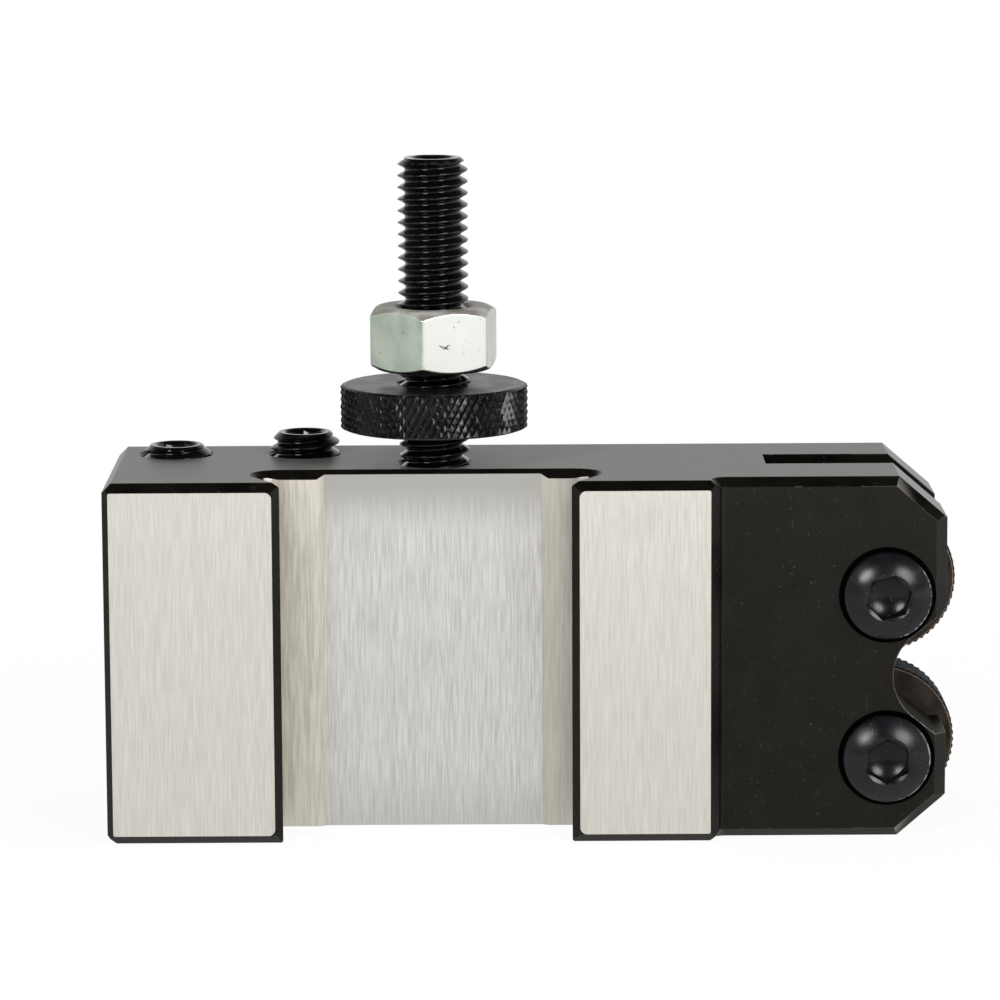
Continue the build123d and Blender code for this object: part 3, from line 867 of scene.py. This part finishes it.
for name, body, hand in (
    ("knurl_wheel_lower", "lower_wheel", 1),
    ("knurl_wheel_upper", "upper_wheel", -1),
):
    wheel_low, wheel_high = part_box(name)
    wheel_axis = (wheel_low + wheel_high) / 2
    wheel_width = wheel_high.y - wheel_low.y
    wheel_radius = (wheel_high.z - wheel_low.z) / 2
    wheel_axis.y = wheel_low.y
    spot = about_axis(wheel_axis, upright_z, upright_x, upright_y)
    angles = column_angles(2 * wheel_teeth)
    shape = start_shape()
    rings = [
        add_ring(shape, spot, angles, wheel_bore, bore_bevel),
        add_ring(shape, spot, angles, wheel_bore + bore_bevel, 0.0),
    ]
    inner_width = wheel_width - 2 * wheel_bevel
    depths = [wheel_bevel + inner_width * row / wheel_rows for row in range(wheel_rows + 1)]
    for depth in [0.0] + depths + [wheel_width]:
        lag = hand * depth * tan(tooth_slant) / wheel_radius
        end_drop = max(wheel_bevel - min(depth, wheel_width - depth), 0.0)
        ring = []
        for column, angle in enumerate(angles):
            is_crest = column % 2 == 0
            reach = wheel_radius - (end_drop if is_crest else tooth_depth)
            wear = 1.0 if is_crest and end_drop == 0.0 else 0.0
            ring.append(add_corner(shape, spot(reach, angle + lag, depth), wear))
        rings.append(ring)
    rings.append(add_ring(shape, spot, angles, wheel_bore + bore_bevel, wheel_width))
    rings.append(add_ring(shape, spot, angles, wheel_bore, wheel_width - bore_bevel))
    join_rings(shape, *rings, rings[0])
    wheel = make_piece(name + "_toothed", shape, wheel_steel, 30.0)
    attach(wheel, body)
    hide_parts(name)


# Axle screws. Button-head socket screws, blackened and oiled, tight in both cheeks. Their plain
# shanks are the wheels' axles, the socket's mouth catches the light, and bare metal is painted
# round the right of each head's rim as a painted highlight.
head_flat = 3.2 * MM
head_rim = 1.2 * MM
head_height = 2.7 * MM
shank_radius = 4.0 * MM
shank_bevel = 0.8 * MM
axle_key = 5.5 * MM
axle_key_depth = 2.6 * MM
axle_mouth = 0.1 * MM
axle_mouth_slope = 0.47
dome_rows = 8
head_columns = 96
rim_round = 0.25 * MM
rim_tilt = radians(37)
rim_rows = 4

# Its crest share paints the rim's highlight in bare metal
head_black = blackened(
    "blackened button head", (0.0035, 0.0038, 0.0045, 1), (0.007, 0.0075, 0.009, 1), (0.45, 0.45, 0.46, 1),
    roughness=0.24, share=0.2, gloss=0.22, scale=300.0, bump=0.004 * MM, wear=0.15, crests=1.0,
)


def rim_highlight(angle):
    """How much bare metal is painted on a head's rim as a highlight, most on the right."""
    return min(1.4 * max(cos(angle + 0.3), 0.0), 1.0)


for name, key_turn in (("axle_screw_lower", radians(30.0)), ("axle_screw_upper", radians(15.5))):
    axle_low, axle_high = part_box(name)
    axle_centre = (axle_low + axle_high) / 2
    axle_centre.y = axle_low.y
    length = axle_high.y - axle_low.y
    head_radius = (axle_high.x - axle_low.x) / 2
    dome_drop = head_height - head_rim
    dome_centre = (head_radius**2 - head_flat**2 + dome_drop**2) / (2 * dome_drop)
    dome_radius = sqrt(head_flat**2 + dome_centre**2)
    rim_start = head_radius - rim_round * (1 - sin(rim_tilt))
    dome_end = dome_centre - sqrt(dome_radius**2 - rim_start**2)
    spot = about_axis(axle_centre, upright_x, upright_z, upright_y)
    angles = column_angles(head_columns, key_turn)
    shape = start_shape()
    rings = []
    for row in range(dome_rows):
        depth = dome_end * (row / dome_rows) ** 1.4
        reach = sqrt(dome_radius**2 - (dome_centre - depth) ** 2)
        rings.append(add_ring(shape, spot, angles, reach, depth))
    for row in range(rim_rows + 1):
        tilt = rim_tilt + (pi / 2 - rim_tilt) * row / rim_rows
        reach = head_radius - rim_round * (1 - sin(tilt))
        depth = dome_end + rim_round * (cos(rim_tilt) - cos(tilt))
        rings.append(add_ring(shape, spot, angles, reach, depth, rim_highlight))
    for reach, depth in (
        (head_radius, head_height),
        (shank_radius, head_height),
        (shank_radius, length - shank_bevel),
        (shank_radius - shank_bevel, length),
    ):
        rings.append(add_ring(shape, spot, angles, reach, depth))
    rings.append([shape.verts.new(spot(0.0, 0.0, length))])
    join_rings(shape, *rings)
    into_screw = about_axis(axle_centre, upright_x, upright_z, -upright_y)
    add_key_socket(
        shape, into_screw, angles, rings[0], 0.0, axle_key, key_turn, axle_key_depth,
        axle_mouth, axle_mouth_slope,
    )
    axle_screw = make_piece(name + "_button_head", shape, head_black, 28.0)
    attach(axle_screw, "holder")
    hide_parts(name)


# Studio. The holder stands on a pale floor before a white background, under two soft lamps in
# front and an even white surround. For reflections the surround is darker overhead and in front,
# and the floor is brighter at the front right and darker at the left.
floor_half_size = 3.0
near_glow = 0.92
shadow_reach = 0.22
lit_floor = 2.1
lit_way = (0.68, -0.73, 0.0)
dim_floor = 0.65
surround = 0.5
room_above = 0.04
room_in_front = 0.15
lamp_power = 4.8
white = (1, 1, 1, 1)


def read_rays(tree):
    """Masks of the rays that see the background itself, and of those that a surface reflects."""
    rays = add_node(tree, "LightPath").outputs
    reflected = rays["Is Glossy Ray"]
    return any_of(tree, rays["Is Camera Ray"], reflected, rays["Is Transmission Ray"]), reflected


floor_paint, tree, shader = start_material("pale floor")
seen, reflected = read_rays(tree)
place, (floor_x, _, _), _ = read_surface(tree)
from_middle = add_node(tree, "VectorMath", {0: place}, operation="LENGTH").outputs["Value"]
floor_glow = ramp(tree, from_middle, 0.0, shadow_reach, near_glow, 1.0)
lit_side = add_node(tree, "VectorMath", {0: place, 1: lit_way}, operation="DOT_PRODUCT").outputs["Value"]
lit_side = ramp(tree, lit_side, 0.18, 0.36, 0.0, lit_floor - 1.0)
dim_side = ramp(tree, floor_x, -0.16, -0.36, 0.0, 1.0 - dim_floor)
shown = calculate(tree, "SUBTRACT", calculate(tree, "ADD", lit_side, 1.0), dim_side)
shown = blend(tree, reflected, 1.0, shown, "FLOAT")
glow = add_node(tree, "Emission", {"Color": white, "Strength": shown}).outputs[0]
matt = add_node(tree, "BsdfDiffuse", {"Color": (0.9, 0.9, 0.9, 1)}).outputs[0]
floor_mix = add_node(tree, "MixShader", {0: all_of(tree, seen, floor_glow), 1: matt, 2: glow})
tree.links.new(floor_mix.outputs[0], tree.nodes["Material Output"].inputs["Surface"])
tree.nodes.remove(shader)
floor_corners = [
    (x * floor_half_size, y * floor_half_size, block_low.z)
    for x, y in ((-1, -1), (1, -1), (1, 1), (-1, 1))
]
floor_data = bpy.data.meshes.new("floor")
floor_data.from_pydata(floor_corners, [], [(0, 1, 2, 3)])
floor_data.materials.append(floor_paint)
floor = bpy.data.objects.new("floor", floor_data)
bpy.context.scene.collection.objects.link(floor)

world = bpy.data.worlds.new("white surround")
bpy.context.scene.world = world
world.use_nodes = True
tree = world.node_tree
seen, reflected = read_rays(tree)
direction = add_node(tree, "TexCoord").outputs["Generated"]
_, towards_back, upwards = add_node(tree, "SeparateXYZ", {0: direction}).outputs
overhead = ramp(tree, upwards, 0.35, 0.75, 1.0, room_above)
in_front = ramp(tree, towards_back, -0.15, -0.65, 1.0, room_in_front)
shown = blend(tree, reflected, 1.0, calculate(tree, "MINIMUM", overhead, in_front), "FLOAT")
feed(
    tree, tree.nodes["Background"], Color=white, Strength=blend(tree, seen, surround, shown, "FLOAT")
)

object_middle = Vector((13 * MM, 15 * MM, 40 * MM))
for name, lamp_place, lamp_length, lamp_width, slant in (
    ("left lamp", Vector((-0.42, -0.62, 0.42)), 0.38, 0.20, radians(45)),
    ("right lamp", Vector((0.48, -0.60, 0.40)), 0.44, 0.26, radians(-45)),
):
    lamp_data = bpy.data.lights.new(name, "AREA")
    lamp_data.shape = "ELLIPSE"
    lamp_data.size = lamp_length
    lamp_data.size_y = lamp_width
    lamp_data.energy = lamp_power
    lamp = bpy.data.objects.new(name, lamp_data)
    lamp.matrix_world = (
        Matrix.Translation(lamp_place)
        @ (object_middle - lamp_place).to_track_quat("-Z", "Y").to_matrix().to_4x4()
        @ Matrix.Rotation(slant, 4, "Z")
    )
    bpy.context.scene.collection.objects.link(lamp)

camera_place = Vector((9.355, -640.009, 151.912)) * MM
camera_pitch = radians(9.3366)
camera_yaw = radians(-0.0485)
camera_roll = radians(0.2955)
sensor_width = 36.0
picture_pixels = 1000
focal_pixels = 4894.29
camera_data = bpy.data.cameras.new("camera")
camera_data.sensor_width = sensor_width
camera_data.lens = focal_pixels / picture_pixels * sensor_width
camera = bpy.data.objects.new("camera", camera_data)
camera.matrix_world = (
    Matrix.Translation(camera_place)
    @ Matrix.Rotation(camera_yaw, 4, "Z")
    @ Matrix.Rotation(pi / 2 - camera_pitch, 4, "X")
    @ Matrix.Rotation(-camera_roll, 4, "Z")
)
bpy.context.scene.collection.objects.link(camera)
bpy.context.scene.camera = camera
bpy.context.scene.view_settings.view_transform = "Standard"
